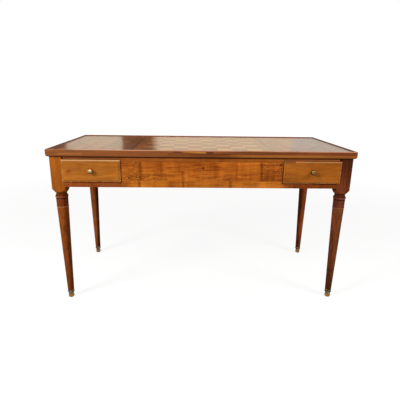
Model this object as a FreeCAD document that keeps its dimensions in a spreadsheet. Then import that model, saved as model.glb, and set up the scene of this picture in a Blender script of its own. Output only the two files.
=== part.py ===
import FreeCAD, Part
import math
import os

import Sketcher

# Tric-trac table: a long games table on four turned legs, with a loose top over the well of the game.
# Millimetres. +Z is up, the front is towards -Y, and the origin is on the floor under the middle of the top.

SIZES = {
    # The whole table
    "table_length": 1372.0,
    "table_depth": 616.0,
    "table_height": 740.0,
    "overhang": 11.0,  # of the top past the legs
    # The loose top and its lip
    "top_thickness": 33.0,
    "lip_width": 12.0,
    "lip_flat": 2.0,  # flat strip under the lip, inside its rounded lower edge
    "lip_rise": 4.0,  # of the lip's outer bead above the veneers
    "lip_bead": 7.0,  # width of that bead
    "lip_ease": 1.5,  # softened upper edges of the bead
    # The veneers of the top
    "veneer_thickness": 1.2,
    "banding_width": 13.5,
    "string_width": 5.5,
    "board_margin": 4.0,  # from the chessboard to the stringing, front and rear
    "board_side_margin": 43.0,  # from the chessboard to the cross lines
    "lozenge_end_margin": 25.0,
    "lozenge_side_margin": 51.0,
    # The lining under the top, and the pegs that hold the top in place
    "baize_margin": 90.0,
    "baize_thickness": 1.3,
    "baize_sink": 0.2,
    "peg_diameter": 12.0,
    "peg_root": 18.0,
    "peg_cover": 14.0,  # wood left over the peg holes
    "peg_clearance": 0.5,
    # Aprons and rails
    "apron_height": 137.5,
    "apron_thickness": 22.0,
    "top_rail_height": 19.5,
    "bottom_rail_height": 30.5,
    "tenon_thickness": 9.0,
    "tenon_length": 32.0,
    "tenon_shoulder": 4.0,
    "joint_gap": 0.2,
    # The legs, from the top down
    "leg_block": 60.0,
    "block_drop": 9.5,  # of the square block below the aprons
    "shoulder_height": 23.5,
    "neck_length": 5.0,
    "neck_diameter": 46.0,
    "upper_ring_height": 6.0,
    "ring_height": 11.0,
    "ring_diameter": 57.0,
    "ring_round": 3.0,
    "groove_height": 3.5,
    "groove_diameter": 49.0,
    "collar_height": 37.0,
    "collar_diameter": 53.0,
    "bead_height": 3.0,
    "shaft_top_diameter": 51.5,
    "shaft_bottom_diameter": 29.5,
    # The brass shoes of the legs, from the top down
    "shoe_band_height": 7.0,
    "shoe_top_diameter": 30.0,
    "shoe_band_diameter": 27.0,
    "shoe_ring_height": 6.0,
    "shoe_cup_height": 18.0,
    "shoe_waist_diameter": 24.0,
    "shoe_cup_diameter": 26.5,
    "shoe_toe_height": 9.0,
    "shoe_toe_round": 7.0,
    "shoe_toe_diameter": 20.0,
    "shoe_floor": 6.0,
    "shoe_wall": 3.0,
    # The well of the game
    "partition_thickness": 18.0,
    "floor_thickness": 12.0,
    "ledger_width": 16.0,
    "divider_width": 26.0,
    "divider_drop": 30.0,  # of the divider below the rim of the well
    "point_gap": 2.0,
    "point_tip_gap": 65.0,  # from a tip to the middle of the board
    "bush_diameter": 9.0,
    "bush_height": 6.0,
    "score_hole_diameter": 4.5,
    "score_hole_depth": 15.0,
    # What carries a drawer
    "drawer_opening": 241.0,
    "runner_width": 20.0,
    "runner_lift": 11.0,  # of the runners above the foot of the aprons
    "kicker_drop": 7.0,  # of the kickers below the rim of the frame
    "guide_height": 27.5,
    # The drawers
    "drawer_gap": 1.0,
    "drawer_headroom": 1.5,
    "drawer_back_space": 102.0,
    "drawer_inner_lip": 9.0,  # of the drawer front past its opening, over the centre panel
    "drawer_outer_lip": 9.5,  # over the leg
    "drawer_edge_lip": 6.5,
    "front_edge": 2.5,  # square edge of the drawer front, behind its bevel
    "bevel_width": 6.5,
    "bevel_depth": 3.2,
    "field_quirk": 1.0,
    "field_raise": 0.8,
    "front_inset": 13.0,  # of the drawer front into its opening
    "side_thickness": 10.0,
    "back_thickness": 10.0,
    "tray_thickness": 6.0,
    "tray_rise": 7.0,
    "tray_groove": 5.0,
    "tail_lap": 3.0,  # wood left in front of the dovetails
    "tail_root": 13.0,
    "tail_flare": 3.0,
    # The knobs
    "knob_shift": 1.5,  # from the middle of the drawer, towards the end of the table
    "knob_lift": 1.0,
    "rose_diameter": 15.0,
    "rose_thickness": 1.5,
    "knob_neck_length": 3.5,
    "knob_diameter": 21.0,
    "stud_diameter": 5.0,
    "stud_spare": 2.0,
    "nut_width": 12.0,
    "nut_thickness": 4.0,
    # How far a cut passes the surface that it opens
    "overrun": 5.0,
}

BOARD_SQUARES = 8  # along one side of the chessboard
POINTS_IN_ROW = 6  # along one side of one half of the well
TAILS_ON_SIDE = 3  # dovetails at the front of a drawer side
HALF_DIAGONAL_SHARE = math.sqrt(0.5)  # of a square's side, from its middle to its corner
KNOB_LOWER_SHARE = 0.6  # of the knob's radius, turned below its widest place
KNOB_UPPER_SHARE = 0.75  # of the knob's radius, turned above it

SIDES = {"left": -1, "right": 1}
ENDS = {"front": -1, "rear": 1}
UP = FreeCAD.Vector(0, 0, 1)
ACROSS = FreeCAD.Vector(1, 0, 0)

doc = FreeCAD.newDocument("TricTracTable")
sheet = doc.addObject("Spreadsheet::Sheet", "Sizes")
nodes = []


class Size:
    """A length, as a number and as the formula that gives it from the sheet."""

    def __init__(self, number, formula):
        self.number = number
        self.formula = formula

    def __add__(self, other):
        other = as_size(other)
        return Size(self.number + other.number, f"({self.formula} + {other.formula})")

    def __sub__(self, other):
        other = as_size(other)
        return Size(self.number - other.number, f"({self.formula} - {other.formula})")

    def __mul__(self, other):
        other = as_size(other)
        return Size(self.number * other.number, f"({self.formula} * {other.formula})")

    def __truediv__(self, other):
        other = as_size(other)
        return Size(self.number / other.number, f"({self.formula} / {other.formula})")

    def __neg__(self):
        return Size(-self.number, f"(-1 * {self.formula})")


def as_size(value):
    """A plain number as a size."""
    if isinstance(value, Size):
        return value
    return Size(value, str(value))


def slant(across, along):
    """The long side of a right triangle."""
    length = math.hypot(across.number, along.number)
    return Size(length, f"sqrt({across.formula}^2 + {along.formula}^2)")


def fill_sheet():
    """Writes each size to a cell with its own alias, and returns them all by name."""
    known = {}
    for row, (name, number) in enumerate(SIZES.items(), start=1):
        sheet.set(f"A{row}", name)
        sheet.set(f"B{row}", str(number))
        sheet.setAlias(f"B{row}", name)
        known[name] = Size(number, f"Sizes.{name}")
    doc.recompute()
    return known


size = fill_sheet()


# Placing and joining

def keep(item):
    """Marks an object as a finished piece of the table."""
    nodes.append(item)
    return item


def place(item, x, y, z, axis=UP, turn=0):
    """Stands an object at a place given in sizes, turned about an axis by so many degrees."""
    item.Placement = FreeCAD.Placement(FreeCAD.Vector(), FreeCAD.Rotation(axis, turn))
    for letter, offset in zip("xyz", (x, y, z)):
        item.setExpression("Placement.Base." + letter, as_size(offset).formula)
    return item


def span(side, near, far):
    """A stretch from near to far of the middle, on the side given by its sign, lowest first."""
    if side > 0:
        return near, far
    return -far, -near


def box(name, low, high):
    """A block from its lowest to its highest corner."""
    item = doc.addObject("Part::Box", name)
    for edge, start, end in zip(("Length", "Width", "Height"), low, high):
        item.setExpression(edge, (as_size(end) - start).formula)
    return place(item, *low)


def cylinder(name, diameter, height, foot, axis=UP, turn=0):
    """A round bar that stands on its foot, along +Z unless it is turned."""
    item = doc.addObject("Part::Cylinder", name)
    item.setExpression("Radius", (diameter / 2).formula)
    item.setExpression("Height", height.formula)
    return place(item, *foot, axis, turn)


def wedge(name, length, front, rear, foot, turn=0):
    """A block along +Y whose front and rear faces are given as (low x, high x, low z, high z)."""
    item = doc.addObject("Part::Wedge", name)
    limits = dict(zip(("Xmin", "Xmax", "Zmin", "Zmax"), front))
    limits.update(zip(("X2min", "X2max", "Z2min", "Z2max"), rear))
    limits["Ymin"] = 0
    limits["Ymax"] = length
    for limit, value in limits.items():
        item.setExpression(limit, as_size(value).formula)
    return place(item, *foot, UP, turn)


def fuse(name, pieces):
    """Pieces glued into one."""
    item = doc.addObject("Part::MultiFuse", name)
    item.Shapes = pieces
    item.Refine = True
    return item


def cut(name, blank, tools):
    """A blank with the tools taken out of it."""
    item = doc.addObject("Part::Cut", name)
    item.Base = blank
    item.Tool = tools[0] if len(tools) == 1 else fuse(name + "_tools", tools)
    item.Refine = True
    return item


def group(name, pieces):
    """Separate pieces that share one node."""
    item = doc.addObject("Part::Compound", name)
    item.Links = pieces
    return item


# Sketches

def new_sketch(body, name, role, lift=0):
    """A sketch on a plane of its body's origin, lifted off that plane."""
    sketch = body.newObject("Sketcher::SketchObject", name)
    plane = [feature for feature in body.Origin.OriginFeatures if feature.Role == role][0]
    sketch.AttachmentSupport = [(plane, "")]
    sketch.MapMode = "FlatFace"
    sketch.setExpression("AttachmentOffset.Base.z", as_size(lift).formula)
    return sketch


def rounded_edge(start, end, radius):
    """The arc that turns left from start to end, less than half a circle."""
    chord = end - start
    middle = (start + end) / 2
    leftward = FreeCAD.Vector(-chord.y, chord.x, 0).normalize()
    centre = middle + leftward * math.sqrt(radius**2 - (chord.Length / 2) ** 2)
    first = math.atan2(start.y - centre.y, start.x - centre.x)
    last = math.atan2(end.y - centre.y, end.x - centre.x)
    return Part.ArcOfCircle(Part.Circle(centre, UP, radius), first, last)


def pin(sketch, kind, axis, edge, value):
    """Fixes the start of an edge along one axis of the sketch."""
    if isinstance(value, Size):
        index = sketch.addConstraint(Sketcher.Constraint(kind, -1, 1, edge, 1, value.number))
        sketch.setExpression(f"Constraints[{index}]", value.formula)
    else:
        sketch.addConstraint(Sketcher.Constraint("PointOnObject", edge, 1, axis))


def draw(sketch, corners):
    """A closed outline, anticlockwise. A third value rounds the stretch to the next corner."""
    first = sketch.GeometryCount
    points = [FreeCAD.Vector(as_size(c[0]).number, as_size(c[1]).number, 0) for c in corners]
    for index, corner in enumerate(corners):
        start = points[index]
        end = points[(index + 1) % len(corners)]
        if len(corner) == 2:
            sketch.addGeometry(Part.LineSegment(start, end))
        else:
            sketch.addGeometry(rounded_edge(start, end, corner[2].number))
    for index, corner in enumerate(corners):
        edge = first + index
        following = first + (index + 1) % len(corners)
        sketch.addConstraint(Sketcher.Constraint("Coincident", edge, 2, following, 1))
        pin(sketch, "DistanceX", -2, edge, corner[0])
        pin(sketch, "DistanceY", -1, edge, corner[1])
        if len(corner) == 3:
            turn = sketch.addConstraint(Sketcher.Constraint("Radius", edge, corner[2].number))
            sketch.setExpression(f"Constraints[{turn}]", corner[2].formula)


def draw_circle(sketch, diameter):
    """A circle about the sketch's origin."""
    edge = sketch.addGeometry(Part.Circle(FreeCAD.Vector(), UP, diameter.number / 2))
    sketch.addConstraint(Sketcher.Constraint("Coincident", edge, 3, -1, 1))
    index = sketch.addConstraint(Sketcher.Constraint("Radius", edge, diameter.number / 2))
    sketch.setExpression(f"Constraints[{index}]", (diameter / 2).formula)


def pad(body, name, sketch, length):
    """The sketch raised along its normal."""
    item = body.newObject("PartDesign::Pad", name)
    item.Profile = sketch
    item.setExpression("Length", length.formula)
    return item


def pocket(body, name, sketch, length):
    """The sketch cut along its normal."""
    item = body.newObject("PartDesign::Pocket", name)
    item.Profile = sketch
    item.Reversed = True
    item.setExpression("Length", length.formula)
    return item


def turned(body, kind, name, corners):
    """A profile, as radius and height, turned about the body's upright axis."""
    sketch = new_sketch(body, name + "_profile", "XZ_Plane")
    draw(sketch, corners)
    item = body.newObject(kind, name)
    item.Profile = sketch
    item.ReferenceAxis = (sketch, ["V_Axis"])
    item.Angle = 360
    return item


def flat_piece(name, outlines, thickness):
    """A sheet of one thickness, its first outline with the others as holes."""
    body = doc.addObject("PartDesign::Body", name)
    sketch = new_sketch(body, name + "_outline", "XY_Plane")
    for corners in outlines:
        draw(sketch, corners)
    pad(body, name + "_sheet", sketch, thickness)
    return body


# Places that several pieces share

half_length = size["table_length"] / 2
half_depth = size["table_depth"] / 2
outer_x = half_length - size["overhang"]
outer_y = half_depth - size["overhang"]
block_x = outer_x - size["leg_block"]
block_y = outer_y - size["leg_block"]
leg_x = outer_x - size["leg_block"] / 2
leg_y = outer_y - size["leg_block"] / 2
inside_x = outer_x - size["apron_thickness"]
inside_y = outer_y - size["apron_thickness"]
rail_middle_y = outer_y - size["apron_thickness"] / 2
apron_middle_x = outer_x - size["apron_thickness"] / 2
rim = size["table_height"] - size["top_thickness"]
apron_foot = rim - size["apron_height"]
opening_low = apron_foot + size["bottom_rail_height"]
opening_high = rim - size["top_rail_height"]
partition_x = block_x - size["drawer_opening"]
well_x = partition_x - size["partition_thickness"]
well_low = opening_low + size["floor_thickness"]
shoe_cup_high = size["shoe_toe_height"] + size["shoe_cup_height"]
shoe_ring_high = shoe_cup_high + size["shoe_ring_height"]
shoe_height = shoe_ring_high + size["shoe_band_height"]
spigot_radius = size["shoe_waist_diameter"] / 2 - size["shoe_wall"]
core_high = size["table_height"] - size["lip_rise"] - size["veneer_thickness"]
peg_height = core_high - rim - size["peg_cover"] - size["peg_clearance"]
point_pitch = (well_x - size["divider_width"] / 2) / POINTS_IN_ROW
mortises = {(x, y): [] for x in SIDES.values() for y in ENDS.values()}


# Aprons and rails, tenoned into the legs

def long_rail(name, end, low, high):
    """A rail along the front or rear, between two legs."""
    face_low, face_high = span(end, inside_y, outer_y)
    pieces = [box(name + "_bar", (-block_x, face_low, low), (block_x, face_high, high))]
    half = size["tenon_thickness"] / 2
    tenon_low, tenon_high = span(end, rail_middle_y - half, rail_middle_y + half)
    for word, side in SIDES.items():
        start, stop = span(side, block_x, block_x + size["tenon_length"])
        corner_low = (start, tenon_low, low + size["tenon_shoulder"])
        corner_high = (stop, tenon_high, high - size["tenon_shoulder"])
        pieces.append(box(f"{name}_{word}_tenon", corner_low, corner_high))
        mortises[side, end].append((corner_low, corner_high))
    return fuse(name + "_blank", pieces)


def end_apron(word, side):
    """The apron of one end, between a front and a rear leg."""
    name = word + "_apron"
    face_low, face_high = span(side, inside_x, outer_x)
    pieces = [box(name + "_bar", (face_low, -block_y, apron_foot), (face_high, block_y, rim))]
    half = size["tenon_thickness"] / 2
    tenon_low, tenon_high = span(side, apron_middle_x - half, apron_middle_x + half)
    for end_word, end in ENDS.items():
        start, stop = span(end, block_y, block_y + size["tenon_length"])
        corner_low = (tenon_low, start, apron_foot + size["tenon_shoulder"])
        corner_high = (tenon_high, stop, rim - size["tenon_shoulder"])
        pieces.append(box(f"{name}_{end_word}_tenon", corner_low, corner_high))
        mortises[side, end].append((corner_low, corner_high))
    return keep(fuse(name, pieces))


def score_places():
    """The places along X of the scoring holes, one opposite each point."""
    for side in SIDES.values():
        for index in range(POINTS_IN_ROW):
            yield (size["divider_width"] / 2 + point_pitch * (index + 0.5)) * side


def scored(name, blank, end, bushes):
    """A rail with a row of scoring holes in its upper edge, each with a bone bush."""
    tools = []
    seat = rim - size["bush_height"]
    fit = size["bush_diameter"] + size["joint_gap"]
    middle = rail_middle_y * end
    for number, x in enumerate(score_places()):
        stem = f"{name}_score_{number}"
        reach = size["bush_height"] + size["overrun"]
        tools.append(cylinder(stem + "_seat", fit, reach, (x, middle, seat)))
        reach = size["score_hole_depth"] + size["overrun"]
        foot = (x, middle, rim - size["score_hole_depth"])
        hole = cylinder(stem + "_hole", size["score_hole_diameter"], reach, foot)
        tools.append(hole)
        ring = cylinder(stem + "_ring", size["bush_diameter"], size["bush_height"], (x, middle, seat))
        bushes.append(cut(stem + "_bush", ring, [hole]))
    return keep(cut(name, blank, tools))


def aprons():
    """The aprons and rails, with the bushes of the scoring holes."""
    bushes = []
    rear = long_rail("rear_apron", ENDS["rear"], apron_foot, rim)
    scored("rear_apron", rear, ENDS["rear"], bushes)
    top_rail = long_rail("front_top_rail", ENDS["front"], opening_high, rim)
    scored("front_top_rail", top_rail, ENDS["front"], bushes)
    bottom_rail = long_rail("front_bottom_rail", ENDS["front"], apron_foot, opening_low)
    bottom_rail.Label = "front_bottom_rail"
    keep(bottom_rail)
    for word, side in SIDES.items():
        end_apron(word, side)
    keep(group("scoring_bushes", bushes))
    panel_low = (-partition_x, -outer_y, opening_low)
    panel_high = (partition_x, -inside_y, opening_high)
    keep(box("front_centre_panel", panel_low, panel_high))


# Legs, each turned from one stick below its square block

def turned_leg(name):
    """A leg that stands on the origin, before its mortises are cut."""
    body = doc.addObject("PartDesign::Body", name + "_stick")
    half = size["leg_block"] / 2
    neck = size["neck_diameter"] / 2
    block_low = apron_foot - size["block_drop"]
    shoulder_low = block_low - size["shoulder_height"]
    upper_high = shoulder_low - size["neck_length"]
    ring_high = upper_high - size["upper_ring_height"]
    ring_low = ring_high - size["ring_height"]
    collar_high = ring_low - size["groove_height"]
    bead_high = collar_high - size["collar_height"]
    bead_low = bead_high - size["bead_height"]

    sketch = new_sketch(body, name + "_block_outline", "XY_Plane", shoulder_low)
    draw(sketch, [(-half, -half), (half, -half), (half, half), (-half, half)])
    block = pad(body, name + "_block", sketch, rim - shoulder_low)

    # The turned shoulder leaves an arched tongue at the foot of each face of the block.
    corner = size["leg_block"] * HALF_DIAGONAL_SHARE
    clear = corner + size["overrun"]
    shoulder = turned(body, "PartDesign::Groove", name + "_shoulder", [
        (neck, shoulder_low),
        (clear, shoulder_low),
        (clear, block_low),
        (corner, block_low),
    ])

    bead = size["bead_height"] / 2
    upper = size["upper_ring_height"] / 2
    ring = size["ring_diameter"] / 2
    curve = size["ring_round"]
    groove = size["groove_diameter"] / 2
    shaft_top = size["shaft_top_diameter"] / 2
    turned(body, "PartDesign::Revolution", name + "_turning", [
        (0, size["shoe_floor"]),
        (spigot_radius, size["shoe_floor"]),
        (spigot_radius, shoe_height),
        (size["shaft_bottom_diameter"] / 2, shoe_height),
        (shaft_top, bead_low, bead),
        (shaft_top + bead, bead_low + bead, bead),
        (shaft_top, bead_high),
        (size["collar_diameter"] / 2, collar_high),
        (groove, collar_high),
        (groove, ring_low),
        (ring - curve, ring_low, curve),
        (ring, ring_low + curve),
        (ring, ring_high - curve, curve),
        (ring - curve, ring_high),
        (neck, ring_high, upper),
        (neck + upper, ring_high + upper, upper),
        (neck, upper_high),
        (neck, shoulder_low + size["overrun"]),
        (0, shoulder_low + size["overrun"]),
    ])
    doc.recompute()
    if shoulder.Shape.Volume >= block.Shape.Volume:
        raise RuntimeError("the shoulder of the leg cuts nothing")
    return body


def leg(name, side, end):
    """A leg with its mortises and the hole for its peg."""
    gap = size["joint_gap"]
    stick = place(turned_leg(name), leg_x * side, leg_y * end, 0)
    tools = []
    for number, (low, high) in enumerate(mortises[side, end]):
        low = [start - gap for start in low]
        high = [stop + gap for stop in high]
        tools.append(box(f"{name}_mortise_{number}", low, high))
    foot = (leg_x * side, leg_y * end, rim - size["peg_root"])
    reach = size["peg_root"] + size["overrun"]
    tools.append(cylinder(name + "_peg_hole", size["peg_diameter"] + gap, reach, foot))
    return keep(cut(name, stick, tools))


def shoe(name, side, end):
    """A brass shoe on the spigot of a leg."""
    body = doc.addObject("PartDesign::Body", name)
    bore = spigot_radius + size["joint_gap"]
    band = size["shoe_band_diameter"] / 2
    ring = size["shoe_ring_height"] / 2
    turned(body, "PartDesign::Revolution", name + "_turning", [
        (0, 0),
        (size["shoe_toe_diameter"] / 2, 0, size["shoe_toe_round"]),
        (size["shoe_cup_diameter"] / 2, size["shoe_toe_height"]),
        (size["shoe_waist_diameter"] / 2, shoe_cup_high),
        (band, shoe_cup_high, ring),
        (band + ring, shoe_cup_high + ring, ring),
        (band, shoe_ring_high),
        (size["shoe_top_diameter"] / 2, shoe_height),
        (bore, shoe_height),
        (bore, size["shoe_floor"]),
        (0, size["shoe_floor"]),
    ])
    return keep(place(body, leg_x * side, leg_y * end, 0))


def legs():
    """The four legs with their shoes, and the pegs in their tops."""
    pegs = []
    for end_word, end in ENDS.items():
        for word, side in SIDES.items():
            leg(f"leg_{end_word}_{word}", side, end)
            shoe(f"shoe_{end_word}_{word}", side, end)
            foot = (leg_x * side, leg_y * end, rim - size["peg_root"])
            reach = size["peg_root"] + peg_height
            pegs.append(cylinder(f"peg_{end_word}_{word}", size["peg_diameter"], reach, foot))
    keep(group("locating_pegs", pegs))


# The well of the game, between two partitions

def points(word, parity):
    """The points of one colour along one side of the well, let into its floor."""
    made = []
    half = (point_pitch - size["point_gap"]) / 2
    length = inside_y - size["point_tip_gap"]
    low = well_low - size["veneer_thickness"]
    base = (-half, half, low, well_low)
    tip = (0, 0, low, well_low)
    turn = 180 if word == "rear" else 0
    for number, x in enumerate(score_places()):
        if number % 2 == parity:
            foot = (x, inside_y * ENDS[word], 0)
            made.append(wedge(f"point_{word}_{number}", length, base, tip, foot, turn))
    return made


def ledgers():
    """The strips that carry the floor of the well."""
    width = size["ledger_width"]
    low = opening_low - width
    strips = []
    for word, end in ENDS.items():
        start, stop = span(end, inside_y - width, inside_y)
        strips.append(box(f"ledger_{word}", (-well_x, start, low), (well_x, stop, opening_low)))
    for word, side in SIDES.items():
        start, stop = span(side, well_x - width, well_x)
        corner_low = (start, width - inside_y, low)
        corner_high = (stop, inside_y - width, opening_low)
        strips.append(box(f"ledger_{word}", corner_low, corner_high))
    keep(group("well_ledgers", strips))


def well():
    """The partitions, the floor with its points, and the divider."""
    for word, side in SIDES.items():
        start, stop = span(side, well_x, partition_x)
        name = word + "_partition"
        keep(box(name, (start, -inside_y, apron_foot), (stop, inside_y, rim)))
    light = points("front", 0) + points("rear", 1)
    dark = points("front", 1) + points("rear", 0)
    low = (-well_x, -inside_y, opening_low)
    board = box("well_board", low, (well_x, inside_y, well_low))
    keep(cut("well_floor", board, light + dark))
    keep(group("light_points", light))
    keep(group("dark_points", dark))
    ledgers()
    half = size["divider_width"] / 2
    high = (half, inside_y, rim - size["divider_drop"])
    keep(box("well_divider", (-half, -inside_y, well_low), high))


# What carries the drawers

def drawer_bearers(word, side):
    """The runners, kickers and guide of one drawer."""
    width = size["runner_width"]
    stretches = {
        "inner": span(side, partition_x, partition_x + width),
        "outer": span(side, block_x - width, block_x),
    }
    runner_low = apron_foot + size["runner_lift"]
    kicker_high = rim - size["kicker_drop"]
    runners = []
    kickers = []
    for place_word, (start, stop) in stretches.items():
        low = (start, -inside_y, runner_low)
        runners.append(box(f"{word}_{place_word}_runner", low, (stop, inside_y, opening_low)))
        low = (start, -inside_y, opening_high)
        kickers.append(box(f"{word}_{place_word}_kicker", low, (stop, inside_y, kicker_high)))
    keep(group(word + "_drawer_runners", runners))
    keep(group(word + "_drawer_kickers", kickers))
    start, stop = span(side, block_x, inside_x)
    high = (stop, block_y, opening_low + size["guide_height"])
    keep(box(word + "_drawer_guide", (start, -block_y, opening_low), high))


# The drawers, each with a lipped front, dovetailed sides and a brass knob

def drawer_tails(name, start, stop, low, high):
    """The dovetails at the front of one drawer side."""
    length = size["front_inset"] - size["tail_lap"]
    narrow = size["tail_root"] / 2
    wide = narrow + size["tail_flare"]
    width = stop - start
    pitch = (high - low) / TAILS_ON_SIDE
    tails = []
    for number in range(TAILS_ON_SIDE):
        middle = low + pitch * (number + 0.5)
        foot = (start, size["tail_lap"] - outer_y, middle)
        front = (0, width, -wide, wide)
        rear = (0, width, -narrow, narrow)
        tails.append(wedge(f"{name}_tail_{number}", length, front, rear, foot))
    return tails


def drawer_front(name, side, tails, groove, knob_x, knob_z):
    """The drawer front, with its lip, bevel, raised field and the inner part that fills the opening."""
    left, right = span(side, partition_x, block_x)
    low = opening_low - size["drawer_edge_lip"]
    high = opening_high + size["drawer_edge_lip"]
    lip_near = partition_x - size["drawer_inner_lip"]
    lip_far = block_x + size["drawer_outer_lip"]
    lip_left, lip_right = span(side, lip_near, lip_far)
    bevel = size["bevel_width"]
    inset = bevel + size["field_quirk"]
    bevel_rear = -outer_y - size["front_edge"]
    bevel_front = bevel_rear - size["bevel_depth"]
    face = bevel_front - size["field_raise"]
    gap = size["drawer_gap"]
    inner_high = opening_high - size["drawer_headroom"]
    inner_rear = size["front_inset"] - outer_y

    pieces = [
        box(name + "_lip", (lip_left, bevel_rear, low), (lip_right, -outer_y, high)),
        wedge(
            name + "_bevel",
            size["bevel_depth"],
            (lip_left + bevel, lip_right - bevel, low + bevel, high - bevel),
            (lip_left, lip_right, low, high),
            (0, bevel_front, 0),
        ),
        box(
            name + "_field",
            (lip_left + inset, face, low + inset),
            (lip_right - inset, bevel_front, high - inset),
        ),
        box(
            name + "_inset",
            (left + gap, -outer_y, opening_low),
            (right - gap, inner_rear, inner_high),
        ),
    ]
    blank = fuse(name + "_blank", pieces)
    foot = (knob_x, face - size["overrun"], knob_z)
    reach = inner_rear - face + size["overrun"] * 2
    bore = size["stud_diameter"] + size["joint_gap"] * 2
    hole = cylinder(name + "_stud_hole", bore, reach, foot, ACROSS, -90)
    return keep(cut(name, blank, tails + [groove, hole]))


def knob(name, x, face, inner_rear, z):
    """A round knob on a rose, with the stud that passes through the drawer front, and its nut."""
    body = doc.addObject("PartDesign::Body", name)
    stud = size["stud_diameter"] / 2
    head = size["knob_diameter"] / 2
    lower = head * KNOB_LOWER_SHARE
    upper = head * KNOB_UPPER_SHARE
    stud_end = face - inner_rear - size["nut_thickness"] - size["stud_spare"]
    neck_high = size["rose_thickness"] + size["knob_neck_length"]
    widest = neck_high + lower
    turned(body, "PartDesign::Revolution", name + "_turning", [
        (0, stud_end),
        (stud, stud_end),
        (stud, 0),
        (size["rose_diameter"] / 2, 0),
        (size["rose_diameter"] / 2, size["rose_thickness"]),
        (head - lower, neck_high, lower),
        (head, widest, upper),
        (head - upper, widest + upper),
        (0, widest + upper),
    ])
    keep(place(body, x, face, z, ACROSS, 90))

    nut = doc.addObject("PartDesign::Body", name + "_nut")
    half = size["nut_width"] / 2
    sketch = new_sketch(nut, name + "_nut_outline", "XY_Plane")
    draw(sketch, [(-half, -half), (half, -half), (half, half), (-half, half)])
    draw_circle(sketch, size["stud_diameter"] + size["joint_gap"] * 2)
    pad(nut, name + "_nut_plate", sketch, size["nut_thickness"])
    keep(place(nut, x, inner_rear, z, ACROSS, -90))


def drawer(word, side):
    """A drawer: front, two sides, back, bottom, knob and nut."""
    name = word + "_drawer"
    gap = size["drawer_gap"]
    thickness = size["side_thickness"]
    high = opening_high - size["drawer_headroom"]
    side_front = size["front_inset"] - outer_y
    rear = inside_y - size["drawer_back_space"]
    tray_low = opening_low + size["tray_rise"]
    tray_high = tray_low + size["tray_thickness"]
    near = partition_x + gap
    far = block_x - gap
    left, right = span(side, near + thickness, far - thickness)
    tongue = size["tray_groove"] - size["joint_gap"]

    slot_low = (left - size["tray_groove"], side_front, tray_low)
    slot_high = (right + size["tray_groove"], rear + size["overrun"], tray_high)
    slot = box(name + "_side_slot", slot_low, slot_high)
    groove_low = (left, side_front - size["tray_groove"], tray_low)
    groove_high = (right, side_front + size["overrun"], tray_high)
    groove = box(name + "_front_groove", groove_low, groove_high)

    all_tails = []
    for place_word, (start, stop) in {
        "inner": span(side, near, near + thickness),
        "outer": span(side, far - thickness, far),
    }.items():
        side_name = f"{name}_{place_word}_side"
        tails = drawer_tails(side_name, start, stop, opening_low, high)
        plank = box(side_name + "_plank", (start, side_front, opening_low), (stop, rear, high))
        keep(cut(side_name, fuse(side_name + "_blank", [plank] + tails), [slot]))
        all_tails += tails
    knob_x = (left + right) / 2 + size["knob_shift"] * side
    knob_z = (opening_low + opening_high) / 2 + size["knob_lift"]
    drawer_front(name + "_front", side, all_tails, groove, knob_x, knob_z)

    back_front = rear - size["back_thickness"]
    keep(box(name + "_back", (left, back_front, tray_high), (right, rear, high)))
    tray = box(name + "_tray", (left - tongue, side_front, tray_low), (right + tongue, rear, tray_high))
    tab_low = (left, side_front - tongue, tray_low)
    tab = box(name + "_tab", tab_low, (right, side_front, tray_high))
    keep(fuse(name + "_bottom", [tray, tab]))

    face = -outer_y - size["front_edge"] - size["bevel_depth"] - size["field_raise"]
    knob(name + "_knob", knob_x, face, side_front, knob_z)


# The loose top

def lip(name, length, x, y, turn):
    """One side of the raised lip, mitred at both ends, with its outer face along the local X axis."""
    body = doc.addObject("PartDesign::Body", name)
    half = length / 2
    width = size["lip_width"]
    height = size["top_thickness"]
    step = height - size["lip_rise"]
    bead = size["lip_bead"]
    curve = width - size["lip_flat"]
    ease = size["lip_ease"]
    past = width + size["overrun"]
    section = new_sketch(body, name + "_section", "YZ_Plane", -half)
    draw(section, [
        (curve, 0),
        (width, 0),
        (width, step),
        (bead, step),
        (bead, height - ease, ease),
        (bead - ease, height),
        (ease, height, ease),
        (0, height - ease),
        (0, curve, curve),
    ])
    bar = pad(body, name + "_bar", section, length)
    plan = new_sketch(body, name + "_mitres", "XY_Plane")
    draw(plan, [(-half, 0), (past - half, past), (-half - past, past), (-half - past, 0)])
    draw(plan, [(half, 0), (half + past, 0), (half + past, past), (half - past, past)])
    mitres = pocket(body, name + "_mitre_cut", plan, height + size["overrun"])
    doc.recompute()
    if mitres.Shape.Volume >= bar.Shape.Volume:
        raise RuntimeError("the mitres of the lip cut nothing")
    return keep(place(body, x, y, rim, UP, turn))


def top_panel():
    """The board of the top, with the peg holes and the sunk lining of its underside."""
    panel_x = half_length - size["lip_width"]
    panel_y = half_depth - size["lip_width"]
    board = box("top_board", (-panel_x, -panel_y, rim), (panel_x, panel_y, core_high))
    baize_x = half_length - size["baize_margin"]
    baize_y = half_depth - size["baize_margin"]
    baize_low = rim + size["baize_sink"]
    baize_high = baize_low + size["baize_thickness"]
    recess_low = (-baize_x, -baize_y, rim - size["overrun"])
    tools = [box("baize_recess", recess_low, (baize_x, baize_y, baize_high))]
    bore = size["peg_diameter"] + size["peg_clearance"] * 2
    reach = size["overrun"] + peg_height + size["peg_clearance"]
    for end_word, end in ENDS.items():
        for word, side in SIDES.items():
            foot = (leg_x * side, leg_y * end, rim - size["overrun"])
            tools.append(cylinder(f"top_peg_hole_{end_word}_{word}", bore, reach, foot))
    keep(cut("top_panel", board, tools))
    keep(box("baize_lining", (-baize_x, -baize_y, baize_low), (baize_x, baize_y, baize_high)))


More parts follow.
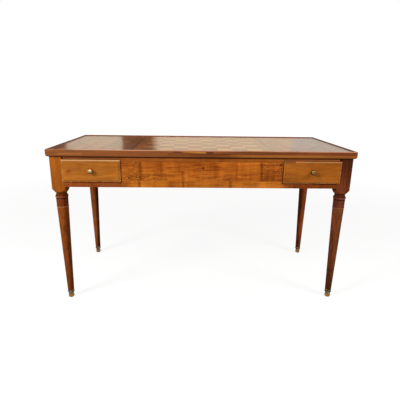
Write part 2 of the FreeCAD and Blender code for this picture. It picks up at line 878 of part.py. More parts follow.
def framed(name, outer_x, outer_y, width, low, high):
    """Four strips round a rectangle, the long ones through."""
    strips = []
    for word, end in ENDS.items():
        start, stop = span(end, outer_y - width, outer_y)
        strips.append(box(f"{name}_{word}", (-outer_x, start, low), (outer_x, stop, high)))
    for word, side in SIDES.items():
        start, stop = span(side, outer_x - width, outer_x)
        corner_low = (start, width - outer_y, low)
        strips.append(box(f"{name}_{word}", corner_low, (stop, outer_y - width, high)))
    return strips


def chessboard(square, low, high):
    """The squares of the board, dark in its front left corner."""
    squares = {"light": [], "dark": []}
    half = BOARD_SQUARES / 2
    for column in range(BOARD_SQUARES):
        for row in range(BOARD_SQUARES):
            shade = "light" if (column + row) % 2 else "dark"
            corner = (square * (column - half), square * (row - half), low)
            opposite = (square * (column + 1 - half), square * (row + 1 - half), high)
            squares[shade].append(box(f"{shade}_square_{column}_{row}", corner, opposite))
    for shade, pieces in squares.items():
        keep(group(shade + "_squares", pieces))


def lozenge_outline(half_x, half_y):
    """The corners of a lozenge about the origin."""
    return [(half_x, 0), (0, half_y), (-half_x, 0), (0, -half_y)]


def end_panel(word, side, near, far, depth, low):
    """The veneers of one end of the top: a field, its lozenge and the line round that."""
    thickness = size["veneer_thickness"]
    half = (far - near) / 2
    middle = (far + near) / 2 * side
    lozenge_x = half - size["lozenge_end_margin"]
    lozenge_y = depth - size["lozenge_side_margin"]
    edge = slant(lozenge_x, lozenge_y)
    line_x = lozenge_x + size["string_width"] * edge / lozenge_y
    line_y = lozenge_y + size["string_width"] * edge / lozenge_x
    inner = lozenge_outline(lozenge_x, lozenge_y)
    outer = lozenge_outline(line_x, line_y)
    rectangle = [(-half, -depth), (half, -depth), (half, depth), (-half, depth)]
    field = flat_piece(word + "_end_field", [rectangle, outer], thickness)
    lozenge = flat_piece(word + "_lozenge", [inner], thickness)
    line = flat_piece(word + "_lozenge_line", [outer, inner], thickness)
    for piece in (field, lozenge, line):
        place(piece, middle, 0, low)
    keep(field)
    keep(lozenge)
    return line


def veneers():
    """The face of the top: banding, stringing, chessboard, its field and the two end panels."""
    low = core_high
    high = core_high + size["veneer_thickness"]
    line = size["string_width"]
    field_x = half_length - size["lip_width"]
    field_y = half_depth - size["lip_width"]
    keep(group("cross_banding", framed("banding", field_x, field_y, size["banding_width"], low, high)))
    line_x = field_x - size["banding_width"]
    line_y = field_y - size["banding_width"]
    lines = framed("border_line", line_x, line_y, line, low, high)
    panel_x = line_x - line
    panel_y = line_y - line

    square = (panel_y - size["board_margin"]) * 2 / BOARD_SQUARES
    board = square * (BOARD_SQUARES / 2)
    chessboard(square, low, high)
    centre_x = board + size["board_side_margin"]
    surround = box("centre_sheet", (-centre_x, -panel_y, low), (centre_x, panel_y, high))
    over = high + size["overrun"]
    hole = box("board_hole", (-board, -board, low - size["overrun"]), (board, board, over))
    keep(cut("centre_field", surround, [hole]))

    for word, side in SIDES.items():
        start, stop = span(side, centre_x, centre_x + line)
        lines.append(box(f"{word}_cross_line", (start, -panel_y, low), (stop, panel_y, high)))
        lines.append(end_panel(word, side, centre_x + line, panel_x, panel_y, low))
    keep(group("stringing", lines))


def loose_top():
    """The top, from its board up."""
    top_panel()
    lip("lip_front", size["table_length"], 0, -half_depth, 0)
    lip("lip_rear", size["table_length"], 0, half_depth, 180)
    lip("lip_left", size["table_depth"], -half_length, 0, -90)
    lip("lip_right", size["table_depth"], half_length, 0, 90)
    veneers()


# Building, checking and writing

def check():
    """Stops if any object failed or any piece is not a sound solid."""
    for item in doc.Objects:
        if "Invalid" in item.State or "Error" in item.State:
            raise RuntimeError(f"{item.Label} failed: {item.State}")
    for item in nodes:
        if item.Shape.isNull() or not item.Shape.isValid() or not item.Shape.Solids:
            raise RuntimeError(f"{item.Label} is not a sound solid")


aprons()
legs()
well()
for word, side in SIDES.items():
    drawer_bearers(word, side)
    drawer(word, side)
loose_top()
doc.recompute()
check()

os.makedirs("parts", exist_ok=True)
for item in nodes:
    item.Shape.exportStep(f"parts/{item.Label}.step")
print(len(nodes), "pieces written")
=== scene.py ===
import math

import bmesh
import bpy
from mathutils import Matrix, Vector, noise


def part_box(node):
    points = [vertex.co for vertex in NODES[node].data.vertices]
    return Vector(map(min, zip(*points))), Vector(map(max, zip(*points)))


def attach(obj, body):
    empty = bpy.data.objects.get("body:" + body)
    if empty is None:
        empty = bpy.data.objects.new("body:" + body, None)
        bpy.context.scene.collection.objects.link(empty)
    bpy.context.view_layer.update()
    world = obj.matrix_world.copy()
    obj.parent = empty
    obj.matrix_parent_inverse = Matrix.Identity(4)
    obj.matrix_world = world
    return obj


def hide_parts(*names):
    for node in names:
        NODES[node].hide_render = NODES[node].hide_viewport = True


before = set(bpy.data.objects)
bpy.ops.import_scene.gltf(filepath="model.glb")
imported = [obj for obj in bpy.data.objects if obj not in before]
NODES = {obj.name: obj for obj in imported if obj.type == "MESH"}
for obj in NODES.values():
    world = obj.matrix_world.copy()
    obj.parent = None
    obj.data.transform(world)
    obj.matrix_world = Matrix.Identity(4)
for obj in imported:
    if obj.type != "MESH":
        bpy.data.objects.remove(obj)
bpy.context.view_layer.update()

SIDES = ("left", "right")
AXES = {"x": 0, "y": 1, "z": 2}
WHITE = (1, 1, 1)


def srgb(red, green, blue):
    """A colour as seen on a screen, 0 to 255, as the linear colour that a shader takes."""
    def linear(level):
        level /= 255
        if level <= 0.04045:
            return level / 12.92
        return ((level + 0.055) / 1.055) ** 2.4
    return linear(red), linear(green), linear(blue)


# Building materials out of nodes

class Graph:
    """The nodes of one material or world."""

    # Agreement of the rounded and the flat normal, off an edge and on it
    EDGE_AGREEMENT = (0.995, 0.86)
    # Share of open sky in the open and in a crease
    CREASE_LIGHT = (0.9, 0.45)
    BUMP_STRENGTH = 0.6

    def __init__(self, name, kind="materials"):
        self.owner = getattr(bpy.data, kind).new(name)
        self.owner.use_nodes = True
        self.tree = self.owner.node_tree
        self.tree.nodes.clear()

    def put(self, socket, value):
        """Links a socket or sets a value."""
        if isinstance(value, bpy.types.NodeSocket):
            self.tree.links.new(value, socket)
        elif socket.type == "RGBA" and len(value) == 3:
            socket.default_value = (*value, 1)
        else:
            socket.default_value = value

    def node(self, kind, inputs=None, **settings):
        made = self.tree.nodes.new("ShaderNode" + kind)
        for name, value in settings.items():
            setattr(made, name, value)
        for name, value in (inputs or {}).items():
            self.put(made.inputs[name], value)
        return made

    def math(self, operation, *values):
        made = self.node("Math", operation=operation)
        for socket, value in zip(made.inputs, values):
            self.put(socket, value)
        return made.outputs[0]

    def plus(self, first, second):
        return self.math("ADD", first, second)

    def minus(self, first, second):
        return self.math("SUBTRACT", first, second)

    def times(self, first, second):
        return self.math("MULTIPLY", first, second)

    def outside(self, mask):
        """1 where a mask is 0."""
        return self.minus(1, mask)

    def mix(self, share, first, second, blend="MIX"):
        made = self.node("Mix", data_type="RGBA", blend_type=blend)
        self.put(made.inputs[0], share)
        self.put(made.inputs[6], first)
        self.put(made.inputs[7], second)
        return made.outputs[2]

    def step(self, value, start, end):
        """0 before start and 1 after end, smooth between. Start may be above end."""
        made = self.node("MapRange", interpolation_type="SMOOTHSTEP")
        for socket, number in zip(made.inputs, (value, start, end, 0, 1)):
            self.put(socket, number)
        return made.outputs[0]

    def band(self, value, low, high, soft):
        """1 between low and high, 0 outside, with soft limits."""
        rise = self.step(value, low - soft, low + soft)
        fall = self.step(value, high + soft, high - soft)
        return self.times(rise, fall)

    def noise(self, where, scale=1, detail=4, roughness=0.55, distortion=0):
        made = self.node("TexNoise", {
            "Vector": where, "Scale": scale, "Detail": detail,
            "Roughness": roughness, "Distortion": distortion,
        })
        return made.outputs["Fac"]

    def scaled(self, where, scale, shift=(0, 0, 0)):
        made = self.node("Mapping", {"Vector": where, "Scale": scale, "Location": shift})
        return made.outputs[0]

    def places(self):
        """The place on the object, in metres, as a vector and as its three parts."""
        where = self.node("TexCoord").outputs["Object"]
        parts = self.node("SeparateXYZ", {0: where})
        return where, parts.outputs[0], parts.outputs[1], parts.outputs[2]

    def facing(self, axis):
        """How far the surface looks along an axis, -1 to 1."""
        normal = self.node("NewGeometry").outputs["Normal"]
        return self.node("SeparateXYZ", {0: normal}).outputs[AXES[axis]]

    def edges(self, radius):
        """The normal with rounded edges, and a mask of those edges."""
        rounded = self.node("Bevel", {"Radius": radius}, samples=6).outputs[0]
        flat = self.node("NewGeometry").outputs["Normal"]
        agreement = self.node("VectorMath", {0: rounded, 1: flat}, operation="DOT_PRODUCT")
        return rounded, self.step(agreement.outputs["Value"], *self.EDGE_AGREEMENT)

    def creases(self, distance):
        """A mask of the places close to other surfaces."""
        light = self.node("AmbientOcclusion", {"Distance": distance}, samples=8)
        return self.step(light.outputs["AO"], *self.CREASE_LIGHT)

    def seen(self):
        """1 for rays of the camera, and for those mirrored or let through."""
        path = self.node("LightPath")
        direct = self.math("MAXIMUM", path.outputs["Is Camera Ray"], path.outputs["Is Glossy Ray"])
        return self.math("MAXIMUM", direct, path.outputs["Is Transmission Ray"])

    def finish(self, colour, roughness, height, normal, bump=0.0004, **constants):
        """Ends a material with the main shader."""
        relief = self.node("Bump", {
            "Height": height, "Distance": bump, "Strength": self.BUMP_STRENGTH, "Normal": normal,
        })
        inputs = {"Base Color": colour, "Roughness": roughness, "Normal": relief.outputs[0]}
        inputs.update({name.replace("_", " "): value for name, value in constants.items()})
        shader = self.node("BsdfPrincipled", inputs)
        self.node("OutputMaterial", {"Surface": shader.outputs[0]})
        return self.owner

    def glow(self, colour, strength):
        """Ends a material as a light."""
        light = self.node("Emission", {"Color": colour, "Strength": strength})
        self.node("OutputMaterial", {"Surface": light.outputs[0]})
        return self.owner


class Wood(Graph):
    """Wood whose grain runs along one axis."""

    # Rates of the grain's fields per metre, across the grain and along it
    STREAKS = (28, 1.6)
    LINES = 170
    PORES = (900, 28)
    CLOUDS = (9, 4)
    FLAMES = (4, 30)
    # How a seed moves the fields
    SEED_SHIFT = (3.7, 1.9, 5.3)
    PORE_RANGE = (0.56, 0.72)
    PORE_SHARE = 0.35
    PORE_COLOUR = (0.02, 0.008, 0.003)
    # Darkened wood keeps more of its red
    DARK_TINT = (1.0, 0.9, 0.82)
    FLECK_BLUE = 1.25
    WEAR_RATE = 55
    WEAR_RANGE = (0.38, 0.66)
    # Reach and colour of the painted shade in creases
    CREASE_SHADE_REACH = 0.009
    CREASE_SHADE = (0.1, 0.06, 0.05)
    # Share of the clouds in the roughness, of the lines and of the pores in the relief
    CLOUD_GLOSS = 0.2
    LINE_RELIEF = 0.7
    PORE_RELIEF = -0.4

    def __init__(self, name, along, dark, light, seed=0, streak=0.5, line=0.5, cloud=0.35, figure=0.0,
                 line_rate=4):
        super().__init__(name)
        self.where, self.x, self.y, self.z = self.places()
        self.axis = AXES[along]
        self.seed = seed
        streaks = self.noise(self.stretched(*self.STREAKS), 1, 3, 0.5, 0.4)
        self.lines = self.noise(self.stretched(self.LINES, line_rate), 1, 4, 0.6, 0.3)
        self.pores = self.noise(self.stretched(*self.PORES), 1, 2, 0.6)
        self.clouds = self.noise(self.stretched(*self.CLOUDS), 1, 3, 0.5)
        flames = self.noise(self.stretched(*self.FLAMES), 1, 3, 0.6, 0.5)
        tone = 0.5
        layers = ((streaks, streak), (self.lines, line), (self.clouds, cloud), (flames, figure))
        for field, weight in layers:
            lifted = self.minus(field, 0.5)
            tone = self.plus(self.times(lifted, weight * 2), tone)
        limited = self.node("Clamp", {"Value": tone}).outputs[0]
        self.colour = self.mix(limited, dark, light)
        shade = self.times(self.step(self.pores, *self.PORE_RANGE), self.PORE_SHARE)
        self.colour = self.mix(shade, self.colour, self.PORE_COLOUR)

    def stretched(self, across, lengthwise):
        """The place, scaled one way across the grain and another way along it."""
        scale = [across] * 3
        scale[self.axis] = lengthwise
        return self.scaled(self.where, scale, [self.seed * part for part in self.SEED_SHIFT])

    def tint(self, share, colour, blend="MIX"):
        self.colour = self.mix(share, self.colour, colour, blend)

    def darken(self, share, amount):
        """Multiplies the colour by an amount below 1, red the least, where the share is 1."""
        self.tint(share, [amount * part for part in self.DARK_TINT], "MULTIPLY")

    def level(self, share, amount):
        """Multiplies all of the colour by an amount, above or below 1, where the share is 1."""
        self.tint(share, (amount, amount, amount), "MULTIPLY")

    def loose(self, value, amount, scale=60):
        """A place that wanders by up to an amount, for marks with uneven edges."""
        wander = self.minus(self.noise(self.where, scale, 3, 0.6), 0.5)
        return self.plus(value, self.times(wander, amount * 2))

    def patch(self, x, z, left, right, low, high, soft):
        """1 inside a rectangle of a face that looks to the front."""
        return self.times(self.band(x, left, right, soft), self.band(z, low, high, soft))

    def flecks(self, across, lengthwise, amount, where=1.0, start=0.5, end=0.66):
        """Darkens uneven flecks along the grain, within a mask."""
        field = self.noise(self.stretched(across, lengthwise), 1, 3, 0.6, 0.9)
        mask = self.times(self.step(field, start, end), where)
        self.tint(mask, (amount, amount, min(1, amount * self.FLECK_BLUE)), "MULTIPLY")

    def spot(self, x, z, radius, amount):
        """A small dark round mark on a face that looks to the front."""
        away_x = self.math("POWER", self.minus(self.x, x), 2)
        away_z = self.math("POWER", self.minus(self.z, z), 2)
        away = self.math("SQRT", self.plus(away_x, away_z))
        self.darken(self.step(away, radius * 1.4, radius * 0.5), amount)

    def done(self, wear_colour, wear=0.5, roughness=0.42, radius=0.0022, crease_shade_share=0.8, **constants):
        """Adds worn edges and painted shade in creases, and ends the material."""
        rounded, edge = self.edges(radius)
        patchy = self.step(self.noise(self.where, self.WEAR_RATE, 4, 0.6), *self.WEAR_RANGE)
        self.tint(self.times(self.times(edge, patchy), wear), wear_colour)
        # Painted shade: darkens the places close to other surfaces
        crease_shade = self.times(self.creases(self.CREASE_SHADE_REACH), crease_shade_share)
        self.tint(crease_shade, self.CREASE_SHADE, "MULTIPLY")
        varied = self.plus(self.times(self.clouds, self.CLOUD_GLOSS), roughness - self.CLOUD_GLOSS / 2)
        pits = self.times(self.pores, self.PORE_RELIEF)
        height = self.plus(self.times(self.lines, self.LINE_RELIEF), pits)
        return self.finish(self.colour, varied, height, rounded, **constants)


def dress(material, *names):
    """Gives CAD nodes a material."""
    for name in names:
        data = NODES[name].data
        data.materials.clear()
        data.materials.append(material)


# Wood of the frame

FRAME_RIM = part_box("front_top_rail")[1].z
DRAWERS = [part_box(f"{side}_drawer_front") for side in SIDES]
GOLDEN_WEAR = srgb(206, 132, 60)
FRAME_GLOSS = {"roughness": 0.42, "Specular_IOR_Level": 0.05}


def shade_gaps(wood, reach):
    """Paints shade on the frame close to the edges of the drawer fronts."""
    for low, high in DRAWERS:
        across = (low.x - reach, high.x + reach)
        near = wood.patch(wood.x, wood.z, *across, low.z - reach, high.z + reach, reach / 3)
        wood.darken(wood.times(near, 0.9), 0.22)


# Parts of a leg, by height
BLOCK = (0.565, 0.7)
TURNING = (0.5, 0.56)
RING = (0.5165, 0.5245)
COLLAR = (0.4745, 0.5345)
BEAD = (0.4705, 0.4745)
FOOT = (0.03, 0.16)
COLLAR_TONE = (0.77, 0.66, 1.0)
# Painted shade in the neck, groove and quirk of a leg: lowest and highest place, softness, darkness
LEG_SHADOWS = ((0.5315, 0.5445, 0.003, 0.5), (0.5105, 0.5145, 0.001, 0.25), (0.5255, 0.528, 0.001, 0.4))
# The joint of block and top rail, a little open: limits along X on a left leg, lowest and highest place
OPEN_JOINT = (-0.624, -0.615, 0.694, 0.715)
# Flecks of the turned part: rate across the grain and along it, darkness
LEG_FLECKS = ((45, 9, 0.66), (95, 32, 0.7))
# The coat of the ring and bead, and of the rest
RING_COAT = 0.45
LEG_COAT = 0.06


def shade_block(wood, turned, block_foot_painted_shading, block_head_painted_shading, inward):
    """The leg's square block, with painted light and shade towards each end, a painted shadow under the
    top, and its open joint.
    """
    square = wood.outside(turned)
    # Painted light and shade towards the block's foot and head
    wood.level(wood.times(square, wood.step(wood.z, BLOCK[1], BLOCK[0])), block_foot_painted_shading)
    wood.level(wood.step(wood.z, *BLOCK), block_head_painted_shading)
    joint = wood.patch(wood.times(wood.x, inward), wood.z, *OPEN_JOINT, 0.0015)
    front = wood.step(wood.y, 0.05, -0.05)
    wood.darken(wood.times(joint, front), 0.15)
    # Painted shadow under the top
    wood.darken(wood.step(wood.z, FRAME_RIM - 0.004, FRAME_RIM - 0.001), 0.3)


def shade_turning(wood, turned, turned_tone):
    """The leg's turned part, with flecks, painted shade in its hollows and a dark foot."""
    wood.tint(turned, turned_tone, "MULTIPLY")
    for across, lengthwise, amount in LEG_FLECKS:
        wood.flecks(across, lengthwise, amount, turned)
    wood.tint(wood.band(wood.z, *COLLAR, 0.001), COLLAR_TONE, "MULTIPLY")
    for low, high, soft, amount in LEG_SHADOWS:
        wood.darken(wood.band(wood.z, low, high, soft), amount)
    wood.darken(wood.step(wood.z, FOOT[1], FOOT[0]), 0.6)


def leg_material(name, seed, dark, light, wear, block_foot_painted_shading, block_head_painted_shading, turned_tone, inward, inner_shade_tone):
    """A leg with painted shade on its inner side, a polished ring and bead, and a painted highlight on
    the bead.
    """
    wood = Wood(name, "z", dark, light, seed, streak=0.5, line=0.6, cloud=0.45)
    turned = wood.step(wood.z, TURNING[1], TURNING[0])
    shade_block(wood, turned, block_foot_painted_shading, block_head_painted_shading, inward)
    shade_turning(wood, turned, turned_tone)
    # Painted shade on the side that looks to the table's middle
    inner = wood.step(wood.facing("x"), 0, inward * 0.95)
    wood.tint(inner, inner_shade_tone, "MULTIPLY")
    # Painted highlight on the bead, in the tone of worn edges
    bead = wood.band(wood.z, *BEAD, 0.0005)
    wood.tint(wood.times(bead, 0.3), wear)
    polish = wood.math("MAXIMUM", wood.band(wood.z, *RING, 0.001), bead)
    coat = wood.plus(wood.times(polish, RING_COAT), LEG_COAT)
    coat = wood.times(coat, wood.outside(inner))
    return wood.done(wear, 0.5, Specular_IOR_Level=0.0, Coat_Weight=coat, Coat_Roughness=0.26)


# Tones of the grain and of worn edges, the edge tone also the bead's painted highlight;
# painted light and shade at the block's foot and head, tone of the turned part,
# the way along X to the table's middle and the painted shade of the side that looks there
LEGS = {
    "leg_front_left": {
        "dark": srgb(131, 64, 14), "light": srgb(192, 109, 33), "wear": srgb(214, 150, 92),
        "block_foot_painted_shading": 0.8, "block_head_painted_shading": 1.0, "turned_tone": (0.66, 0.58, 0.84),
        "inward": 1, "inner_shade_tone": (0.74, 0.71, 1.1),
    },
    "leg_front_right": {
        "dark": srgb(62, 26, 11), "light": srgb(120, 59, 30), "wear": srgb(170, 104, 66),
        "block_foot_painted_shading": 1.45, "block_head_painted_shading": 0.55, "turned_tone": (1.7, 2.0, 1.75),
        "inward": -1, "inner_shade_tone": (0.78, 0.76, 0.9),
    },
    "leg_rear_left": {
        "dark": srgb(122, 60, 16), "light": srgb(184, 104, 38), "wear": srgb(190, 130, 80),
        "block_foot_painted_shading": 1.0, "block_head_painted_shading": 1.0, "turned_tone": (0.86, 0.84, 1.2),
        "inward": 1, "inner_shade_tone": (0.4, 0.36, 0.6),
    },
    "leg_rear_right": {
        "dark": srgb(104, 50, 16), "light": srgb(164, 88, 34), "wear": srgb(180, 120, 72),
        "block_foot_painted_shading": 1.0, "block_head_painted_shading": 1.0, "turned_tone": (1.02, 0.92, 1.2),
        "inward": -1, "inner_shade_tone": (0.6, 0.6, 1.0),
    },
}
for seed, (name, tones) in enumerate(LEGS.items(), start=1):
    dress(leg_material(name, seed, **tones), name)


def apron_material(name, along, dark, light, seed):
    wood = Wood(name, along, dark, light, seed, streak=0.5, line=0.5, cloud=0.3, figure=0.35)
    return wood.done(GOLDEN_WEAR, 0.35, **FRAME_GLOSS)


end_aprons = apron_material("end_aprons", "y", srgb(128, 64, 20), srgb(196, 112, 42), 7)
dress(end_aprons, "left_apron", "right_apron")
dress(apron_material("rear_apron", "x", srgb(122, 62, 20), srgb(188, 106, 40), 8), "rear_apron")

# The golden stretch of the bottom rail along X, and where its right end darkens
GOLDEN_STRETCH = (-0.34, 0.37)
DARK_END = (0.36, 0.42)
# Stains of the bottom rail: place along X, width, darkness
RAIL_STAINS = ((-0.284, 0.01, 0.5), (-0.087, 0.012, 0.54), (0.128, 0.014, 0.6))
# Painted shadow in the open gap under the right drawer front, along X
DRAWER_GAP_SHADOW = (0.5, 0.61)


def bottom_rail_material():
    """Golden between the drawers, redder under them, with a few dark stains, a painted shadow under the
    right drawer front and painted shade along the drawers' edges.
    """
    tones = srgb(150, 74, 14), srgb(222, 132, 42)
    wood = Wood("front_bottom_rail", "x", *tones, 5, streak=0.6, line=0.6, cloud=0.6, figure=0.6)
    ends = wood.outside(wood.band(wood.loose(wood.x, 0.02), *GOLDEN_STRETCH, 0.03))
    wood.tint(wood.times(ends, 0.9), (0.46, 0.34, 0.66), "MULTIPLY")
    wood.darken(wood.step(wood.loose(wood.x, 0.02), *DARK_END), 0.8)
    wood.flecks(80, 30, 0.8)
    for x, width, amount in RAIL_STAINS:
        stain = wood.band(wood.loose(wood.x, 0.004), x - width / 2, x + width / 2, 0.005)
        wood.darken(stain, amount)
    front_foot = DRAWERS[1][0].z
    # Painted shadow in the gap under the right drawer front
    gap = wood.patch(wood.x, wood.z, *DRAWER_GAP_SHADOW, front_foot - 0.006, front_foot + 0.002, 0.001)
    wood.darken(gap, 0.3)
    shade_gaps(wood, 0.004)
    return wood.done(srgb(222, 150, 74), 0.4, **FRAME_GLOSS)


# The top rail between the drawers, along X
RAIL_MIDDLE = (-0.36, 0.36)


def top_rail_material():
    """Painted shadow where it meets the top; darker over the drawers, with painted shade along their
    edges.
    """
    tones = srgb(124, 61, 19), srgb(176, 99, 38)
    wood = Wood("front_top_rail", "x", *tones, 6, streak=0.5, line=0.7, cloud=0.3, figure=0.3)
    ends = wood.outside(wood.band(wood.loose(wood.x, 0.02), *RAIL_MIDDLE, 0.02))
    wood.tint(ends, (0.88, 0.88, 1.3), "MULTIPLY")
    # Painted shadow under the top
    wood.darken(wood.step(wood.loose(wood.z, 0.001), FRAME_RIM - 0.006, FRAME_RIM - 0.002), 0.25)
    shade_gaps(wood, 0.002)
    return wood.done(GOLDEN_WEAR, 0.2, **FRAME_GLOSS)


dress(bottom_rail_material(), "front_bottom_rail")
dress(top_rail_material(), "front_top_rail")

# Stains of the panel between the drawers: place along X, width, lowest and highest place, darkness
STAINS = (
    (-0.277, 0.012, 0.6, 0.69, 0.68), (-0.183, 0.012, 0.61, 0.69, 0.8), (-0.091, 0.014, 0.6, 0.645, 0.7),
    (-0.04, 0.018, 0.62, 0.69, 0.88), (0.06, 0.02, 0.61, 0.68, 0.84), (0.155, 0.008, 0.61, 0.68, 0.76),
    (0.265, 0.008, 0.607, 0.69, 0.4), (0.356, 0.006, 0.63, 0.69, 0.6),
)
# Flecked places of the panel: limits along X, lowest and highest place, darkness
FLECKED = (
    (-0.38, -0.15, 0.6, 0.632, 0.5), (-0.38, -0.27, 0.6, 0.69, 0.66), (0.27, 0.38, 0.6, 0.69, 0.7),
    (-0.02, 0.16, 0.6, 0.625, 0.7),
)
# Shadow along the top and two lines of a repair:
# limits along X, lowest and highest place, softness, darkness
DARK_LINES = (
    (-0.26, 0.06, 0.681, 0.69, 0.003, 0.78), (0.268, 0.35, 0.673, 0.6765, 0.0018, 0.6),
    (0.276, 0.345, 0.645, 0.649, 0.0018, 0.62),
)
# The pale piece of the repair: limits along X, lowest and highest place
PALE_PIECE = (0.27, 0.35, 0.65, 0.672)
# A pale stretch of the panel and a paler line, along X
PALE_STRETCH = (0.02, 0.25)
PALE_LINE = (0.156, 0.168)
# Nail holes: place along X, height, radius
NAIL_HOLES = ((0.002, 0.66, 0.0055), (0.193, 0.626, 0.003), (0.35, 0.677, 0.005))


def panel_material():
    """Figured wood with stains, flecks, nail holes, the outline of an old repair, a painted shadow along
    the top and painted shade along the drawers' edges.
    """
    tones = srgb(139, 63, 14), srgb(214, 122, 39)
    weights = {"streak": 0.4, "line": 0.8, "cloud": 0.5, "figure": 0.5}
    wood = Wood("front_centre_panel", "x", *tones, 9, line_rate=13, **weights)
    cross = wood.noise(wood.stretched(12, 85), 1, 3, 0.6, 0.4)
    wood.darken(wood.times(wood.step(cross, 0.5, 0.72), 0.6), 0.8)
    wood.flecks(120, 22, 0.84)
    x = wood.loose(wood.x, 0.012, 45)
    z = wood.loose(wood.z, 0.006, 70)
    wood.level(wood.band(wood.loose(wood.x, 0.05, 20), *PALE_STRETCH, 0.03), 1.07)
    for left, right, low, high, amount in FLECKED:
        wood.flecks(150, 75, amount, wood.patch(x, z, left, right, low, high, 0.012), 0.44, 0.56)
    for place, width, low, high, amount in STAINS:
        wood.darken(wood.patch(x, z, place - width / 2, place + width / 2, low, high, 0.005), amount)
    for *limits, soft, amount in DARK_LINES:
        wood.darken(wood.patch(x, z, *limits, soft), amount)
    wood.level(wood.band(x, *PALE_LINE, 0.003), 1.25)
    wood.level(wood.patch(x, z, *PALE_PIECE, 0.004), 1.12)
    for place, height, radius in NAIL_HOLES:
        wood.spot(place, height, radius, 0.25)
    shade_gaps(wood, 0.0035)
    return wood.done(GOLDEN_WEAR, 0.3, **FRAME_GLOSS)


dress(panel_material(), "front_centre_panel")

# Width of a drawer front's bevel, and of the fine groove inside it
BEVEL = 0.0075
GROOVE = 0.0025


def wear_drawer(wood, low, high, bevel_highlight, dull_length):
    """The worn rim of a drawer front, with a painted highlight on its upper bevel and a fine groove
    inside.
    """
    x = wood.loose(wood.x, 0.0012)
    z = wood.loose(wood.z, 0.0012)
    upper = high.z - BEVEL
    # Painted highlight on the upper bevel
    wood.tint(wood.times(wood.step(z, upper, upper + 0.003), bevel_highlight), srgb(228, 184, 132))
    wood.darken(wood.patch(x, z, low.x, low.x + dull_length, upper, high.z, 0.001), 0.5)
    worn = wood.step(wood.noise(wood.where, 40, 4, 0.6), 0.4, 0.66)
    inner = wood.patch(x, z, low.x + 0.005, high.x - 0.005, low.z + 0.004, high.z, 0.0012)
    border = wood.times(wood.outside(inner), worn)
    wood.tint(wood.times(border, 0.55), srgb(196, 152, 94))
    field, around = [
        wood.patch(wood.x, wood.z, low.x + rim, high.x - rim, low.z + rim, high.z - rim, 0.0008)
        for rim in (BEVEL, BEVEL - GROOVE)
    ]
    wood.darken(wood.times(wood.minus(around, field), 0.4), 0.75)


def drawer_material(name, dark, light, bevel_highlight, dull_length, marks, seed):
    """A drawer front with its own marks, a worn rim and a painted highlight on its upper bevel."""
    wood = Wood(name, "x", dark, light, seed, streak=0.55, line=0.55, cloud=0.8, figure=0.15, line_rate=9)
    wood.flecks(40, 9, 0.88)
    wood.flecks(90, 20, 0.9)
    marks(wood)
    wear_drawer(wood, *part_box(name), bevel_highlight, dull_length)
    return wood.done(srgb(206, 156, 98), 0.3, 0.4, 0.0014, Specular_IOR_Level=0.08)


# The knot of the left drawer front: dark patch round it, then its place along X, height and radius
KNOT_PATCH = (-0.61, -0.58, 0.63, 0.65)
KNOT = (-0.5935, 0.6426, 0.006)
# The flame of the left drawer front: rise along X, limits of its height at X = 0, limits along X
FLAME_RISE = 0.147
FLAME_HEIGHT = (0.6815, 0.689)
FLAME_STRETCH = (-0.5, -0.39)


def knot_and_flame(wood):
    """A small knot, and a pale flame that rises to the right below the knob."""
    x = wood.loose(wood.x, 0.01)
    z = wood.loose(wood.z, 0.01)
    wood.darken(wood.patch(x, z, *KNOT_PATCH, 0.01), 0.82)
    wood.spot(*KNOT, 0.7)
    slope = wood.minus(wood.z, wood.times(wood.loose(wood.x, 0.02, 12), FLAME_RISE))
    flame = wood.band(slope, *FLAME_HEIGHT, 0.003)
    wood.level(wood.times(flame, wood.band(wood.x, *FLAME_STRETCH, 0.02)), 1.2)


def thin_flecks(wood):
    """Short dark lines in the grain."""
    wood.flecks(190, 24, 0.8, 1.0, 0.56, 0.66)


left_front = drawer_material(
    "left_drawer_front", srgb(139, 74, 16), srgb(190, 115, 40), 0.45, 0.0, knot_and_flame, 10
)
right_front = drawer_material(
    "right_drawer_front", srgb(140, 73, 13), srgb(192, 112, 35), 0.22, 0.05, thin_flecks, 11
)
dress(left_front, "left_drawer_front")
dress(right_front, "right_drawer_front")


def plain_wood(name, along, dark, light, seed, roughness=0.6):
    wood = Wood(name, along, dark, light, seed)
    return wood.done(srgb(196, 160, 112), 0.2, roughness, Specular_IOR_Level=0.15)


bearers = plain_wood("bearers", "y", srgb(122, 86, 50), srgb(176, 134, 86), 12)
lining_y = plain_wood("drawer_sides", "y", srgb(150, 112, 68), srgb(200, 160, 108), 13)
lining_x = plain_wood("drawer_backs", "x", srgb(146, 108, 64), srgb(198, 158, 106), 14)
dress(bearers, "left_partition", "right_partition", "well_ledgers", "locating_pegs")
for side in SIDES:
    dress(bearers, f"{side}_drawer_runners", f"{side}_drawer_kickers", f"{side}_drawer_guide")
    dress(lining_y, f"{side}_drawer_inner_side", f"{side}_drawer_outer_side", f"{side}_drawer_bottom")
    dress(lining_x, f"{side}_drawer_back")

# The well
POLISHED = 0.35
well = plain_wood("well", "y", srgb(44, 26, 18), srgb(92, 56, 36), 15, POLISHED)
dress(well, "well_floor", "well_divider")
light_points = plain_wood("light_points", "y", srgb(176, 138, 84), srgb(220, 186, 130), 16, POLISHED)
dress(light_points, "light_points")
dark_points = plain_wood("dark_points", "y", srgb(122, 54, 24), srgb(172, 90, 44), 17, POLISHED)
dress(dark_points, "dark_points")


# The loose top

def lip_material(name, along, dark, light, seed):
    wood = Wood(name, along, dark, light, seed, streak=0.7, line=0.7, cloud=0.3)
    return wood.done(srgb(184, 116, 76), 0.55, 0.3, 0.0016, Specular_IOR_Level=0.25)


# The front lip along X: where its two-toned half starts, where its right end darkens, its middle
TWO_TONED = (-0.02, 0.2)
RIGHT_END = (0.48, 0.62)
LIP_MIDDLE = (-0.04, 0.15)
